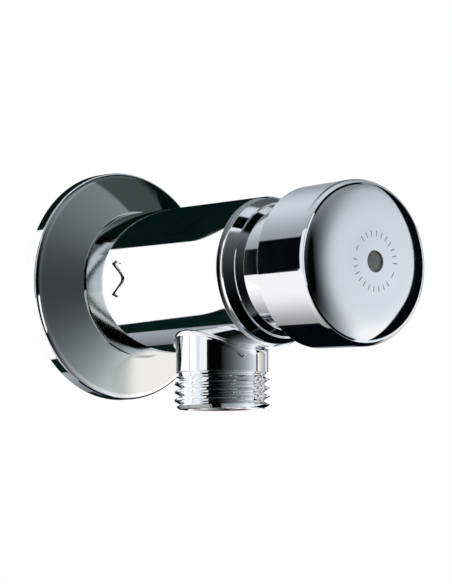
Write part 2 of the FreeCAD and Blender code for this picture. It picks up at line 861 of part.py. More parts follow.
def make_push_button():
    """The chromed cap: a crowned face, a round shoulder, a skirt and a boss for the stem."""
    body = new_body("push_button")
    turn_about_axis(body, "button_turned", [
        ("button_rear", "button_bore"),
        ("button_rear", "button_radius - edge_break"),
        ("button_rear + edge_break", "button_radius"),
        ("button_edge", "button_face_radius", "dome"),
        ("button_front", "0"),
        ("boss_rear", "0"),
        ("boss_rear", "boss_radius"),
        ("button_inside", "boss_radius"),
        ("button_inside", "button_bore"),
    ])
    round_edges(body, "button_shoulder", "button_round",
                lambda edge: is_circle_at(edge, "button_edge", "button_face_radius"))
    turn_about_axis(body, "button_bores", [
        ("boss_rear - cut_over", "0"),
        ("boss_rear - cut_over", "spigot_radius"),
        ("grub_rear", "spigot_radius"),
        ("grub_rear", "grub_radius"),
        ("plug_rear", "grub_radius"),
        ("plug_rear", "plug_radius"),
        ("button_front + cut_over", "plug_radius"),
        ("button_front + cut_over", "0"),
    ], kind="Groove")
    return body


def make_button_screw():
    """The headless screw that locks the button on the stem, with a hexagon socket."""
    body = turned("button_screw", [
        ("grub_rear", "0"),
        ("grub_rear", "grub_radius - edge_break"),
        ("grub_rear + edge_break", "grub_radius"),
        ("grub_front - edge_break", "grub_radius"),
        ("grub_front", "grub_radius - edge_break"),
        ("grub_front", "0"),
    ])
    row_of_cuts(body, "screw_socket", "grub_front", "grub_length", 1, hexagon("socket_radius"))
    return body


def make_button_plug():
    """The small dished plug over the screw, in the middle of the button's face."""
    return turned("button_plug", [
        ("plug_rear", "0"),
        ("plug_rear", "plug_radius - run_gap"),
        ("plug_front", "plug_radius - run_gap", "dome"),
        ("plug_front - plug_sink / 2", "0"),
    ])


def helix_point(turns, rises):
    """A point of the spring's line and the way that it runs there."""
    angle = 2 * math.pi * turns
    whole = min(int(turns), len(rises) - 1)
    part_turn = turns - whole
    height = sum(rises[:whole]) + rises[whole] * part_turn
    radius = number("spring_radius")
    point = Vector(radius * math.cos(angle), -height, radius * math.sin(angle))
    slope = rises[whole] / (2 * math.pi)
    way = Vector(-radius * math.sin(angle), -slope, radius * math.cos(angle))
    return point, way.normalize()


def arc_from(start, way, end):
    """The arc that leaves start along way and ends at end."""
    chord = end - start
    side = way - chord * (way.dot(chord) / chord.dot(chord))
    lean = way.getAngle(chord)
    middle = (start + end) * 0.5 + side.normalize() * (chord.Length / 2 * math.tan(lean / 2))
    return Part.Arc(start, middle, end).toShape()


def biarc(start, way_out, end, way_in):
    """Two arcs that meet smoothly, from one point and direction to another."""
    chord = end - start
    both = way_out + way_in
    spread = 2 * (1 - way_out.dot(way_in))
    reach = (math.sqrt(chord.dot(both) ** 2 + spread * chord.dot(chord)) - chord.dot(both)) / spread
    joint = (start + end + (way_out - way_in) * reach) * 0.5
    turned_back = arc_from(end, way_in * -1, joint)
    return [arc_from(start, way_out, joint), Part.Wire(turned_back).Edges[0]]


def make_return_spring():
    """A wound spring from the bonnet's floor to the button's floor: one unbroken wire."""
    wire = number("spring_wire")
    room = number("button_inside - web_front - spring_wire - 2 * spring_seat_gap")
    end_rise = wire + number("spring_end_gap")
    middle_curls = SPRING_CURLS - 2 * END_CURLS
    rise = (room - 2 * END_CURLS * end_rise) / middle_curls
    rises = [end_rise] * END_CURLS + [rise] * middle_curls + [end_rise] * END_CURLS
    quarters = 4 * SPRING_CURLS
    stations = [helix_point(i / 4, rises) for i in range(quarters + 1)]
    edges = []
    for first, last in zip(stations, stations[1:]):
        edges += biarc(first[0], first[1], last[0], last[1])
    start, way = stations[0]
    path = Part.Wire(Part.__sortEdges__(edges))
    section = Part.Wire(Part.Circle(start, way, wire / 2).toShape())
    shell = Part.BRepOffsetAPI.MakePipeShell(path)
    shell.add(section)
    if not shell.isReady():
        raise RuntimeError("the spring's wire has no sweep")
    shell.build()
    shell.makeSolid()
    points = [helix_point(i / 24, rises)[0] for i in range(24 * SPRING_CURLS + 1)]
    gaps = [(p - q).Length for i, p in enumerate(points) for q in points[i + 12:]]
    print("spring: least gap between curls %.2f mm" % (min(gaps) - wire))
    spring = doc.addObject("Part::Feature", "return_spring")
    spring.Label = "return_spring"
    spring.Shape = shell.shape()
    floor = number("web_front + spring_seat_gap + spring_wire / 2")
    spring.Placement = FreeCAD.Placement(Vector(0, -floor, 0), Rotation())
    return spring


def make_seal_rings():
    """The rubber rings of round section."""
    seal_radius = "chamber_radius - ring_cord / 2 + ring_squeeze / 2"
    return [
        ring("regulator_ring", "regulator_front - regulator_base - ring_cord / 2 - run_gap",
             "holes_place", "ring_cord"),
        ring("barrel_seal_rear", "rear_groove + ring_groove / 2", seal_radius, "ring_cord - ring_squeeze"),
        ring("barrel_seal_front", "front_groove + ring_groove / 2", seal_radius, "ring_cord - ring_squeeze"),
        ring("bonnet_seal", "body_front - seal_cord / 2", "bonnet_thread + seal_cord / 2", "seal_cord"),
        ring("stem_seal", "packing_floor + stem_ring_cord / 2 + run_gap",
             "guide_radius + stem_ring_cord / 2", "stem_ring_cord"),
    ]


PIECES = [
    make_wall_plate(),
    make_valve_body(),
    make_inlet_strainer(),
    make_flow_regulator(),
    make_cartridge_barrel(),
    make_seat_ring(),
    make_guide_bush(),
    make_bonnet(),
    make_gland_washer(),
    make_gland_nut(),
    make_return_spring(),
    make_timing_piston(),
    make_piston_lip_seal(),
    make_bleed_pin(),
    make_stem(),
    make_piston_clip(),
    make_valve_disc(),
    make_disc_carrier(),
    make_disc_screw(),
    make_push_button(),
    make_button_screw(),
    make_button_plug(),
] + make_seal_rings()

doc.recompute()

# Nothing is written unless every object is sound
for item in doc.Objects:
    if "Invalid" in item.State or "Error" in item.State:
        raise RuntimeError("%s could not be built" % item.Name)
for piece in PIECES:
    if piece.Shape.isNull() or not piece.Shape.isValid() or len(piece.Shape.Solids) != 1:
        raise RuntimeError("%s is not one sound solid" % piece.Label)

os.makedirs("parts", exist_ok=True)
for piece in PIECES:
    piece.Shape.exportStep("parts/%s.step" % piece.Label)
    print("%-18s %9.1f mm3" % (piece.Label, piece.Shape.Volume))
print("%d pieces" % len(PIECES))
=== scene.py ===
import json
import math

import bpy
from bpy.props import FloatProperty, FloatVectorProperty, IntProperty, PointerProperty
from mathutils import Matrix, Vector

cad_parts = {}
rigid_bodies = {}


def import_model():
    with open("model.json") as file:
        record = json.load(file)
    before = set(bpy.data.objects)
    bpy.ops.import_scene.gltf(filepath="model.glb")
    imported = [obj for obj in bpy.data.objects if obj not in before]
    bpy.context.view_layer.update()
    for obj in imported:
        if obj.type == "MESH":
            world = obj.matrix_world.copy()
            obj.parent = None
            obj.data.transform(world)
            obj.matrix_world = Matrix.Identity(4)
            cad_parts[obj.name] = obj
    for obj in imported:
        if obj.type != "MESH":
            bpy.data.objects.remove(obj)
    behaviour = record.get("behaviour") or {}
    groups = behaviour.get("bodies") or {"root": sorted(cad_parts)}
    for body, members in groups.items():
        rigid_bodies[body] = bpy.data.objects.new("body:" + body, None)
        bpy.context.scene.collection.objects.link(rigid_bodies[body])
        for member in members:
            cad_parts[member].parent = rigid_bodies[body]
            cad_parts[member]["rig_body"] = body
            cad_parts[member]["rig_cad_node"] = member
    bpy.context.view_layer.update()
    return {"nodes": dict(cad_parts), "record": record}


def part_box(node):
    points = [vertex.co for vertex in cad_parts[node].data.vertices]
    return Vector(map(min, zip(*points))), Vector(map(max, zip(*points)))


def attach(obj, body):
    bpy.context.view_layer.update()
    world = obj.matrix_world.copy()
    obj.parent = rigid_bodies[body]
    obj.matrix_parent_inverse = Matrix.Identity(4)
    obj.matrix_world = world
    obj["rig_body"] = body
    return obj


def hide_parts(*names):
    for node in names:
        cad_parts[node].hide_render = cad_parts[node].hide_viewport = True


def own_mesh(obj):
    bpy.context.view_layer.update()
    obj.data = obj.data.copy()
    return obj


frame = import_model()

bl_info = {
    "name": "Push button flush valve",
    "version": (1, 1, 0),
    "blender": (4, 5, 0),
    "location": "View3D > Sidebar > Valve",
    "description": "Dresses the packed flush valve: chrome pieces, threads, spring, finishes and studio",
    "category": "Object",
}

NODES = frame["nodes"]
MM = 0.001

# Sizes in millimetres. Places along the axis are counted from the wall towards the user.
PLATE_LOW, PLATE_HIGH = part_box("wall_plate")
BODY_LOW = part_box("valve_body")[0]
BUTTON_LOW, BUTTON_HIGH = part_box("push_button")
PLATE_FRONT = -PLATE_LOW.y / MM
BODY_FRONT = -BODY_LOW.y / MM
BUTTON_FRONT = -BUTTON_LOW.y / MM
BUTTON_REAR = -BUTTON_HIGH.y / MM
OUTLET = next(m for m in frame["record"]["mounts"] if m["name"] == "outlet")
OUTLET_PLACE = -OUTLET["pos_m"][1] / MM
OUTLET_DROP = -BODY_LOW.z / MM
BONNET_FLOOR = BODY_FRONT - 1.9
BUTTON_FLOOR = BUTTON_FRONT - 4.2
BUTTON_FLARE = 0.35
BUTTON_CROWN = 0.7
BUTTON_SHOULDER = 4.3
# Easing from shoulder to crown: how many degrees short the shoulder ends, its reach inwards, its two pulls
EASE_TURN = 20
EASE_RUN = 6.5
EASE_PULL = (0.22, 0.42)

BODY_RADIUS = 16.2
NECK_RADIUS = 10.2
NECK_END = 21.2
THREAD_TOP = 22.2
OUTLET_BORE = 7.0
ROOT_BEND = 1.6

# Half inch pipe thread
THREAD_RADIUS = 10.4775
THREAD_PITCH = 1.814
THREAD_DEPTH = 1.1
FLANK_SLOPE = math.tan(math.radians(27.5))
ROOT_FLAT = 0.16
CUTTER_OVER = 0.22

TURN_STEPS = 256


class ValveSettings(bpy.types.PropertyGroup):
    """What a user would change."""
    plate_radius: FloatProperty(
        name="Plate radius", description="Outside radius of the wall plate", subtype="DISTANCE",
        default=PLATE_HIGH.x)
    plate_height: FloatProperty(
        name="Plate height", description="How far the plate stands off the wall", subtype="DISTANCE",
        default=-PLATE_LOW.y)
    button_radius: FloatProperty(
        name="Button radius", description="Radius of the button at its rear rim", subtype="DISTANCE",
        default=0.0172)
    tick_count: IntProperty(
        name="Ticks", description="How many small marks stand in each half ring on the button's face",
        default=10)
    tick_length: FloatProperty(
        name="Tick length", description="Length of a mark on the button's face", subtype="DISTANCE",
        default=0.0014)
    tick_width: FloatProperty(
        name="Tick width", description="Width of a mark on the button's face", subtype="DISTANCE",
        default=0.00026)
    arrow_depth: FloatProperty(
        name="Arrow depth", description="How deep the arrow is pressed into the body",
        subtype="DISTANCE", default=0.00048)
    chrome_colour: FloatVectorProperty(
        name="Chrome", description="Colour of the chrome plating", subtype="COLOR", size=3,
        default=(0.90, 0.91, 0.93))
    spun_share: FloatVectorProperty(
        name="Spun face", description="How much of the light the plate's spun face gives back", size=3,
        default=(0.61, 0.67, 0.64))
    chrome_roughness: FloatProperty(
        name="Chrome roughness", description="How blurred the plating's reflections are", default=0.028)
    room_light: FloatProperty(
        name="Room light", description="Level of the soft light from all round", default=0.85)


def settings():
    """The user's values."""
    return bpy.context.scene.valve_settings


def deselect_all():
    """Leave edit mode and select nothing."""
    if bpy.context.object and bpy.context.object.mode != "OBJECT":
        bpy.ops.object.mode_set(mode="OBJECT")
    bpy.ops.object.select_all(action="DESELECT")


def make_active(piece):
    """Select this piece alone."""
    deselect_all()
    piece.select_set(True)
    bpy.context.view_layer.objects.active = piece


def settle(piece, name):
    """Name a piece and put its place into its mesh."""
    make_active(piece)
    bpy.ops.object.transform_apply(location=True, rotation=True, scale=True)
    piece.name = name
    piece.data.name = name
    return piece


def apply_all(piece):
    """Apply a piece's modifiers, in order."""
    make_active(piece)
    for modifier in list(piece.modifiers):
        bpy.ops.object.modifier_apply(modifier=modifier.name)


def arc(place, radius, bend, start, end, count):
    """Points of a profile along an arc about (place, radius), angles in degrees from the axis."""
    points = []
    for i in range(count + 1):
        angle = math.radians(start + (end - start) * i / count)
        points.append((place + bend * math.cos(angle), radius + bend * math.sin(angle)))
    return points


def rounded(corners, fine=0.12):
    """A closed profile with its corners rounded. A corner is (place, radius), or with its own bend."""
    points = []
    for i, corner in enumerate(corners):
        here = Vector(corner[:2])
        to_last = Vector(corners[i - 1][:2]) - here
        to_next = Vector(corners[(i + 1) % len(corners)][:2]) - here
        bend = corner[2] if len(corner) > 2 else fine
        half = (math.pi - to_last.angle(to_next)) / 2
        if half < 0.02 or not bend:
            points.append(tuple(here))
            continue
        reach = min(bend * math.tan(half), 0.45 * to_last.length, 0.45 * to_next.length)
        middle = (to_last.normalized() + to_next.normalized()).normalized() * (reach / math.sin(half))
        start = to_last.normalized() * reach - middle
        end = to_next.normalized() * reach - middle
        count = max(2, math.ceil(math.degrees(2 * half) / 11))
        for k in range(count + 1):
            share = 2 * half * k / count
            point = (start * math.sin(2 * half - share) + end * math.sin(share)) / math.sin(2 * half)
            points.append(tuple(here + middle + point))
    return points


def turn(name, profile, steps=TURN_STEPS):
    """A turned piece with a closed profile of (place, radius): a circle, extruded and scaled on."""
    place, radius = profile[0]
    deselect_all()
    bpy.ops.mesh.primitive_circle_add(
        vertices=steps, radius=radius * MM, location=(0, -place * MM, 0), rotation=(math.pi / 2, 0, 0))
    piece = bpy.context.object
    bpy.ops.object.mode_set(mode="EDIT")
    for (place, radius), (next_place, next_radius) in zip(profile, profile[1:] + profile[:1]):
        bpy.ops.mesh.extrude_region_move(
            TRANSFORM_OT_translate={"value": (0, -(next_place - place) * MM, 0)})
        share = next_radius / radius
        bpy.ops.transform.resize(
            value=(share, 1, share), center_override=(0, -next_place * MM, 0))
    bpy.ops.mesh.select_all(action="SELECT")
    bpy.ops.mesh.remove_doubles(threshold=0.000002)
    bpy.ops.mesh.normals_make_consistent(inside=False)
    bpy.ops.object.mode_set(mode="OBJECT")
    return settle(piece, name)


def true_normals(piece):
    """Shade a piece smoothly, with each large face flat right up to its rounded edge."""
    make_active(piece)
    bpy.ops.object.shade_smooth()
    normals = piece.modifiers.new("normals", "WEIGHTED_NORMAL")
    normals.mode = "FACE_AREA"
    normals.weight = 50
    apply_all(piece)
    return piece


def soften(piece, width, segments=3, limit=24):
    """Round a piece's edges a little and give its faces true normals."""
    edges = piece.modifiers.new("edges", "BEVEL")
    edges.width = width
    edges.segments = segments
    edges.limit_method = "ANGLE"
    edges.angle_limit = math.radians(limit)
    return true_normals(piece)


def finish_piece(piece, body, slot, material, *nodes):
    """Give a piece its material and its body, and hide the CAD nodes that it stands for. The slot is not
    used.
    """
    piece.data.materials.clear()
    piece.data.materials.append(material)
    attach(piece, body)
    if nodes:
        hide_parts(*nodes)
    return piece


class Graph:
    """Adds nodes to a tree and joins them."""

    def __init__(self, tree):
        self.tree = tree
        tree.nodes.clear()

    def add(self, kind, inputs=(), **values):
        """One node. Inputs are (socket, value or socket of another node)."""
        node = self.tree.nodes.new(kind)
        for key, value in values.items():
            setattr(node, key, value)
        for socket, value in inputs:
            if isinstance(value, bpy.types.NodeSocket):
                self.tree.links.new(value, node.inputs[socket])
            else:
                node.inputs[socket].default_value = value
        return node

    def place(self):
        """The three Object coordinates, in metres."""
        place = self.add("ShaderNodeTexCoord").outputs["Object"]
        return self.add("ShaderNodeSeparateXYZ", [(0, place)]).outputs

    def scaled(self, tint, level):
        """A tint at a level that another node gives."""
        return self.add("ShaderNodeVectorMath", [(0, tint), ("Scale", level)], operation="SCALE").outputs[0]

    def math(self, operation, *values):
        """A maths node's result."""
        return self.add("ShaderNodeMath", list(enumerate(values)), operation=operation).outputs[0]

    def step(self, value, start, end):
        """0 below start, 1 above end, soft between."""
        node = self.add("ShaderNodeMapRange", [("Value", value), ("From Min", start), ("From Max", end)],
                        interpolation_type="SMOOTHSTEP")
        return node.outputs[0]

    def band(self, value, low, high, soft):
        """1 between low and high, with soft edges."""
        rise = self.step(value, low - soft / 2, low + soft / 2)
        fall = self.step(value, high + soft / 2, high - soft / 2)
        return self.math("MULTIPLY", rise, fall)

    def glow(self, across, up, place, spread, level):
        """A soft round patch, brightest at its place."""
        run = self.math("DIVIDE", self.math("SUBTRACT", across, place[0]), spread[0])
        rise = self.math("DIVIDE", self.math("SUBTRACT", up, place[1]), spread[1])
        off = self.math("ADD", self.math("POWER", self.math("ABSOLUTE", run), 2.0),
                        self.math("POWER", self.math("ABSOLUTE", rise), 2.0))
        return self.math("MULTIPLY", self.math("EXPONENT", self.math("MULTIPLY", off, -1.0)), level)

    def mix(self, share, below, above):
        """A colour between two."""
        node = self.add("ShaderNodeMix", [(0, share), (6, below), (7, above)], data_type="RGBA")
        return node.outputs[2]


WHITE = (1.0, 1.0, 1.0)
COOL = (0.90, 0.99, 1.08)
SLATE = (0.86, 1.02, 1.04)
WARM = (1.04, 1.0, 0.94)
MILKY = (0.99, 0.98, 1.0)
GREEN_BLACK = (0.0010, 0.0078, 0.0066, 1.0)
DARK_GREEN = (0.0022, 0.0120, 0.0105, 1.0)
BLUE_BLACK = (0.0012, 0.0020, 0.0036, 1.0)

# Where the plate's spun face ends in its polished rim, as a soft step from and to a radius in metres
SPUN_EDGE = (0.0246, 0.0250)
# The walls of the pressed arrow, which get a near-black painted shade: their distance from the axis, and the
# box that they stand in, in metres
ARROW_WALLS = (0.01576, 0.016186)
ARROW_BOX = ((-0.020, -0.012), (-0.028, -0.016), (-0.006, 0.006))


def grey(level, tint=WHITE):
    """A plain colour for a node's socket."""
    return (level * tint[0], level * tint[1], level * tint[2], 1.0)


def new_material(name):
    """An empty node material and its graph."""
    material = bpy.data.materials.new(name)
    material.use_nodes = True
    return material, Graph(material.node_tree)


def finish_shader(graph, shader, height=None, strength=0.1, distance=0.0001):
    """Add the bump and the output to a material."""
    if height is not None:
        bump = graph.add("ShaderNodeBump", [("Height", height)])
        bump.inputs["Strength"].default_value = strength
        bump.inputs["Distance"].default_value = distance
        graph.tree.links.new(bump.outputs[0], shader.inputs["Normal"])
    graph.add("ShaderNodeOutputMaterial", [(0, shader.outputs[0])])


def noise(graph, scale, detail=3.0, vector=None):
    """Noise on the piece's own coordinates."""
    if vector is None:
        vector = graph.add("ShaderNodeTexCoord").outputs["Object"]
    node = graph.add("ShaderNodeTexNoise", [("Vector", vector), ("Scale", scale), ("Detail", detail)])
    return node.outputs[0]


def ring_radius(graph):
    """Distance from the valve's axis, in metres."""
    across, _, up = graph.place()
    across = graph.math("POWER", across, 2.0)
    return graph.math("SQRT", graph.math("ADD", across, graph.math("POWER", up, 2.0)))


def chrome_material(name, lines=0.0, shade_arrow_walls=False):
    """Polished chrome. Lines are faint circles left by turning. The last choice paints the walls of the
    pressed arrow near black: painted shade in the recess.
    """
    values = settings()
    material, graph = new_material(name)
    polished = (*values.chrome_colour, 1.0)
    smudge = noise(graph, 90.0, 4.0)
    rough = graph.add("ShaderNodeMapRange", [
        ("Value", smudge), ("From Min", 0.35), ("From Max", 0.75),
        ("To Min", values.chrome_roughness), ("To Max", values.chrome_roughness * 2.2)]).outputs[0]
    shader = graph.add("ShaderNodeBsdfPrincipled", [("Roughness", rough)])
    shader.inputs["Base Color"].default_value = polished
    shader.inputs["Metallic"].default_value = 1.0
    if lines:
        radius = ring_radius(graph)
        spun = tuple(c * s for c, s in zip(values.chrome_colour, values.spun_share))
        shade = graph.mix(graph.step(radius, *SPUN_EDGE), (*spun, 1.0), polished)
        graph.tree.links.new(shade, shader.inputs["Base Color"])
        vector = graph.add("ShaderNodeCombineXYZ", [(0, radius)]).outputs[0]
        finish_shader(graph, shader, noise(graph, 5200.0, 2.0, vector), lines, 0.00002)
        return material
    if shade_arrow_walls:
        # Painted shade: the walls of the pressed arrow are coloured near black, as if they lay in shade
        painted_wall_shade = graph.band(ring_radius(graph), *ARROW_WALLS, 0.00001)
        for part, limits in zip(graph.place(), ARROW_BOX):
            painted_wall_shade = graph.math("MULTIPLY", painted_wall_shade, graph.band(part, *limits, 0.0001))
        shade = graph.mix(painted_wall_shade, polished, grey(0.02, SLATE))
        graph.tree.links.new(shade, shader.inputs["Base Color"])
    finish_shader(graph, shader, smudge, 0.02, 0.00002)
    return material


def metal_material(name, colour, roughness, scale, strength):
    """A turned or drawn metal with a fine grain round its axis."""
    material, graph = new_material(name)
    place = graph.add("ShaderNodeTexCoord").outputs["Object"]
    squeezed = graph.add("ShaderNodeMapping", [("Vector", place)])
    squeezed.inputs["Scale"].default_value = (1.0, 14.0, 1.0)
    grain = noise(graph, scale, 4.0, squeezed.outputs[0])
    rough = graph.add("ShaderNodeMapRange", [
        ("Value", grain), ("To Min", roughness * 0.7), ("To Max", roughness * 1.4)]).outputs[0]
    darker = tuple(c * 0.82 for c in colour) + (1.0,)
    shade = graph.mix(grain, darker, (*colour, 1.0))
    shader = graph.add("ShaderNodeBsdfPrincipled", [("Roughness", rough), ("Base Color", shade)])
    shader.inputs["Metallic"].default_value = 1.0
    finish_shader(graph, shader, grain, strength, 0.00005)
    return material


def soft_material(name, colour, roughness, scale, strength, spread=0.85, coat=0.0):
    """Rubber or moulded plastic: an even colour with a fine skin."""
    material, graph = new_material(name)
    skin = noise(graph, scale, 5.0)
    darker = tuple(c * spread for c in colour) + (1.0,)
    shade = graph.mix(noise(graph, scale / 9.0, 2.0), darker, (*colour, 1.0))
    shader = graph.add("ShaderNodeBsdfPrincipled", [("Base Color", shade)])
    shader.inputs["Roughness"].default_value = roughness
    shader.inputs["Coat Weight"].default_value = coat
    finish_shader(graph, shader, skin, strength, 0.00008)
    return material


FINISHES = {}


def make_finishes():
    """Every finish of the valve: one for each slot of the record, and those of single pieces."""
    FINISHES["chrome"] = chrome_material("chrome_plating")
    FINISHES["chrome_spun"] = chrome_material("chrome_spun", lines=0.03)
    # Chrome with painted shade on the walls of the pressed arrow
    FINISHES["chrome_painted_arrow_shade"] = chrome_material("chrome_painted_arrow_shade", shade_arrow_walls=True)
    FINISHES["steel"] = metal_material("stainless_steel", (0.62, 0.63, 0.65), 0.22, 900.0, 0.08)
    FINISHES["brass"] = metal_material("turned_brass", (0.80, 0.62, 0.32), 0.25, 800.0, 0.10)
    FINISHES["rubber"] = soft_material("seal_rubber", (0.028, 0.028, 0.03), 0.62, 2600.0, 0.20, 0.7)
    FINISHES["acetal"] = soft_material("moulded_acetal", (0.80, 0.80, 0.76), 0.38, 1800.0, 0.06, 0.94)
    FINISHES["bush_plastic"] = soft_material("waxy_plastic", (0.86, 0.86, 0.85), 0.33, 1500.0, 0.05, 0.95)
    FINISHES["plug_grey"] = soft_material("moulded_plug", (0.075, 0.085, 0.083), 0.42, 2400.0, 0.03, 0.9, 0.1)
    FINISHES["etched"] = soft_material("etched_mark", (0.16, 0.17, 0.19), 0.55, 5000.0, 0.15, 0.8)


def polar(graph, across, up):
    """Distance from the middle and the angle round it, in degrees from the right, of two values."""
    radius = graph.math("SQRT", graph.math("ADD", graph.math("MULTIPLY", across, across),
                                           graph.math("MULTIPLY", up, up)))
    angle = graph.math("DEGREES", graph.math("ARCTAN2", up, across))
    return radius, graph.math("MODULO", graph.math("ADD", angle, 360.0), 360.0)


def shine(graph, colour):
    """End a card's material: it glows in one colour."""
    light = graph.add("ShaderNodeEmission", [("Color", colour)])
    graph.add("ShaderNodeOutputMaterial", [(0, light.outputs[0])])


def back_card_material():
    """The card behind the valve. Its middle lights the body, its outer ring the button."""
    material, graph = new_material("back_card")
    across, _, up = graph.place()
    radius, turned = polar(graph, across, up)
    radius = graph.math("DIVIDE", radius, MM)
    # The white field's edges close in where the body ends
    end = graph.add("ShaderNodeMapRange", [
        ("Value", radius), ("From Min", 106.0), ("From Max", 115.0)]).outputs[0]
    end = graph.math("POWER", end, 1.7)
    upper = graph.math("SUBTRACT", 130.7, graph.math("MULTIPLY", end, 16.5))
    lower = graph.math("SUBTRACT", 256.0, graph.math("MULTIPLY", radius, 0.14))
    lower = graph.math("SUBTRACT", lower, graph.math("MULTIPLY", end, 5.0))
    inside = graph.math("MULTIPLY", graph.step(graph.math("SUBTRACT", turned, upper), -0.6, 0.6),
                        graph.step(graph.math("SUBTRACT", lower, turned), -0.6, 0.6))
    near = graph.mix(graph.step(turned, 240.0, 246.0), GREEN_BLACK, DARK_GREEN)
    fading = graph.add("ShaderNodeMapRange", [
        ("Value", turned), ("From Min", 264.0), ("From Max", 294.0), ("To Min", 0.40), ("To Max", 0.20)])
    near = graph.mix(graph.band(turned, 262.0, 295.0, 1.5), near, graph.scaled(COOL, fading.outputs[0]))
    near = graph.mix(inside, near, grey(1.12))
    # The far ring: pale above, black at the left, near white below
    top = graph.glow(turned, 0.0, (92.0, 0.0), (36.0, 1.0), 0.43)
    side = graph.glow(turned, 0.0, (14.0, 0.0), (20.0, 1.0), 0.22)
    pale = graph.math("ADD", graph.math("ADD", top, side), 0.28)
    under = graph.math("SUBTRACT", 1.0, graph.math("MULTIPLY", graph.step(turned, 215.0, 270.0), 0.66))
    far = graph.mix(graph.band(turned, 190.0, 268.0, 1.0), BLUE_BLACK, graph.scaled(MILKY, under))
    upper_half = graph.math("SUBTRACT", 1.0, graph.band(turned, 144.5, 338.0, 2.0))
    far = graph.mix(upper_half, far, graph.scaled(COOL, pale))
    beyond = graph.math("MULTIPLY", graph.step(radius, 198.0, 206.0), graph.band(turned, 140.0, 192.0, 1.0))
    far = graph.mix(beyond, far, grey(0.88, COOL))
    edge = graph.math("MULTIPLY", graph.band(radius, 498.0, 548.0, 12.0),
                      graph.band(turned, 120.0, 262.0, 4.0))
    far = graph.mix(edge, far, GREEN_BLACK)
    shine(graph, graph.mix(graph.step(radius, 118.0, 119.5), near, far))
    return material


def plain_card_material(name, level):
    """A small white card beside the valve."""
    material, graph = new_material(name)
    shine(graph, grey(level))
    return material


def fading_card_material(name, front, back, near_level, far_level, tint):
    """A small card beside the valve, fading from its front edge to its back edge."""
    material, graph = new_material(name)
    level = graph.add("ShaderNodeMapRange", [
        ("Value", graph.place()[1]), ("From Min", front), ("From Max", back),
        ("To Min", near_level), ("To Max", far_level)]).outputs[0]
    shine(graph, graph.scaled(tint, level))
    return material


def ring_material(name, zones):
    """A ring about the valve, clear but for its zones.

    A zone is its limits and softness round the axis in degrees, its limits along the axis and its colour.
    """
    material, graph = new_material(name)
    across, depth, up = graph.place()
    turned = polar(graph, across, up)[1]
    colour, shown = BLUE_BLACK, 0.0
    for (low, high, soft), (rear, front), shade in zones:
        inside = graph.math("MULTIPLY", graph.band(turned, low, high, soft),
                            graph.band(depth, front, rear, 0.003))
        colour = graph.mix(inside, colour, shade)
        shown = graph.math("MAXIMUM", inside, shown)
    light = graph.add("ShaderNodeEmission", [("Color", colour)])
    clear = graph.add("ShaderNodeBsdfTransparent")
    both = graph.add("ShaderNodeMixShader", [(0, shown), (1, clear.outputs[0]), (2, light.outputs[0])])
    graph.add("ShaderNodeOutputMaterial", [(0, both.outputs[0])])
    return material


# Soft lights of the studio as (place, spread, level), in degrees right and up of where the button faces
SOFT_LIGHTS = [((52.0, -6.0), (32.0, 34.0), 0.61), ((51.0, 39.0), (43.0, 26.0), 0.34),
               ((0.0, 150.0), (160.0, 94.0), 0.42), ((93.0, -55.0), (66.0, 42.0), 1.9),
               ((0.0, -104.0), (90.0, 26.0), 0.14), ((0.0, -5.0), (20.0, 70.0), 0.08)]


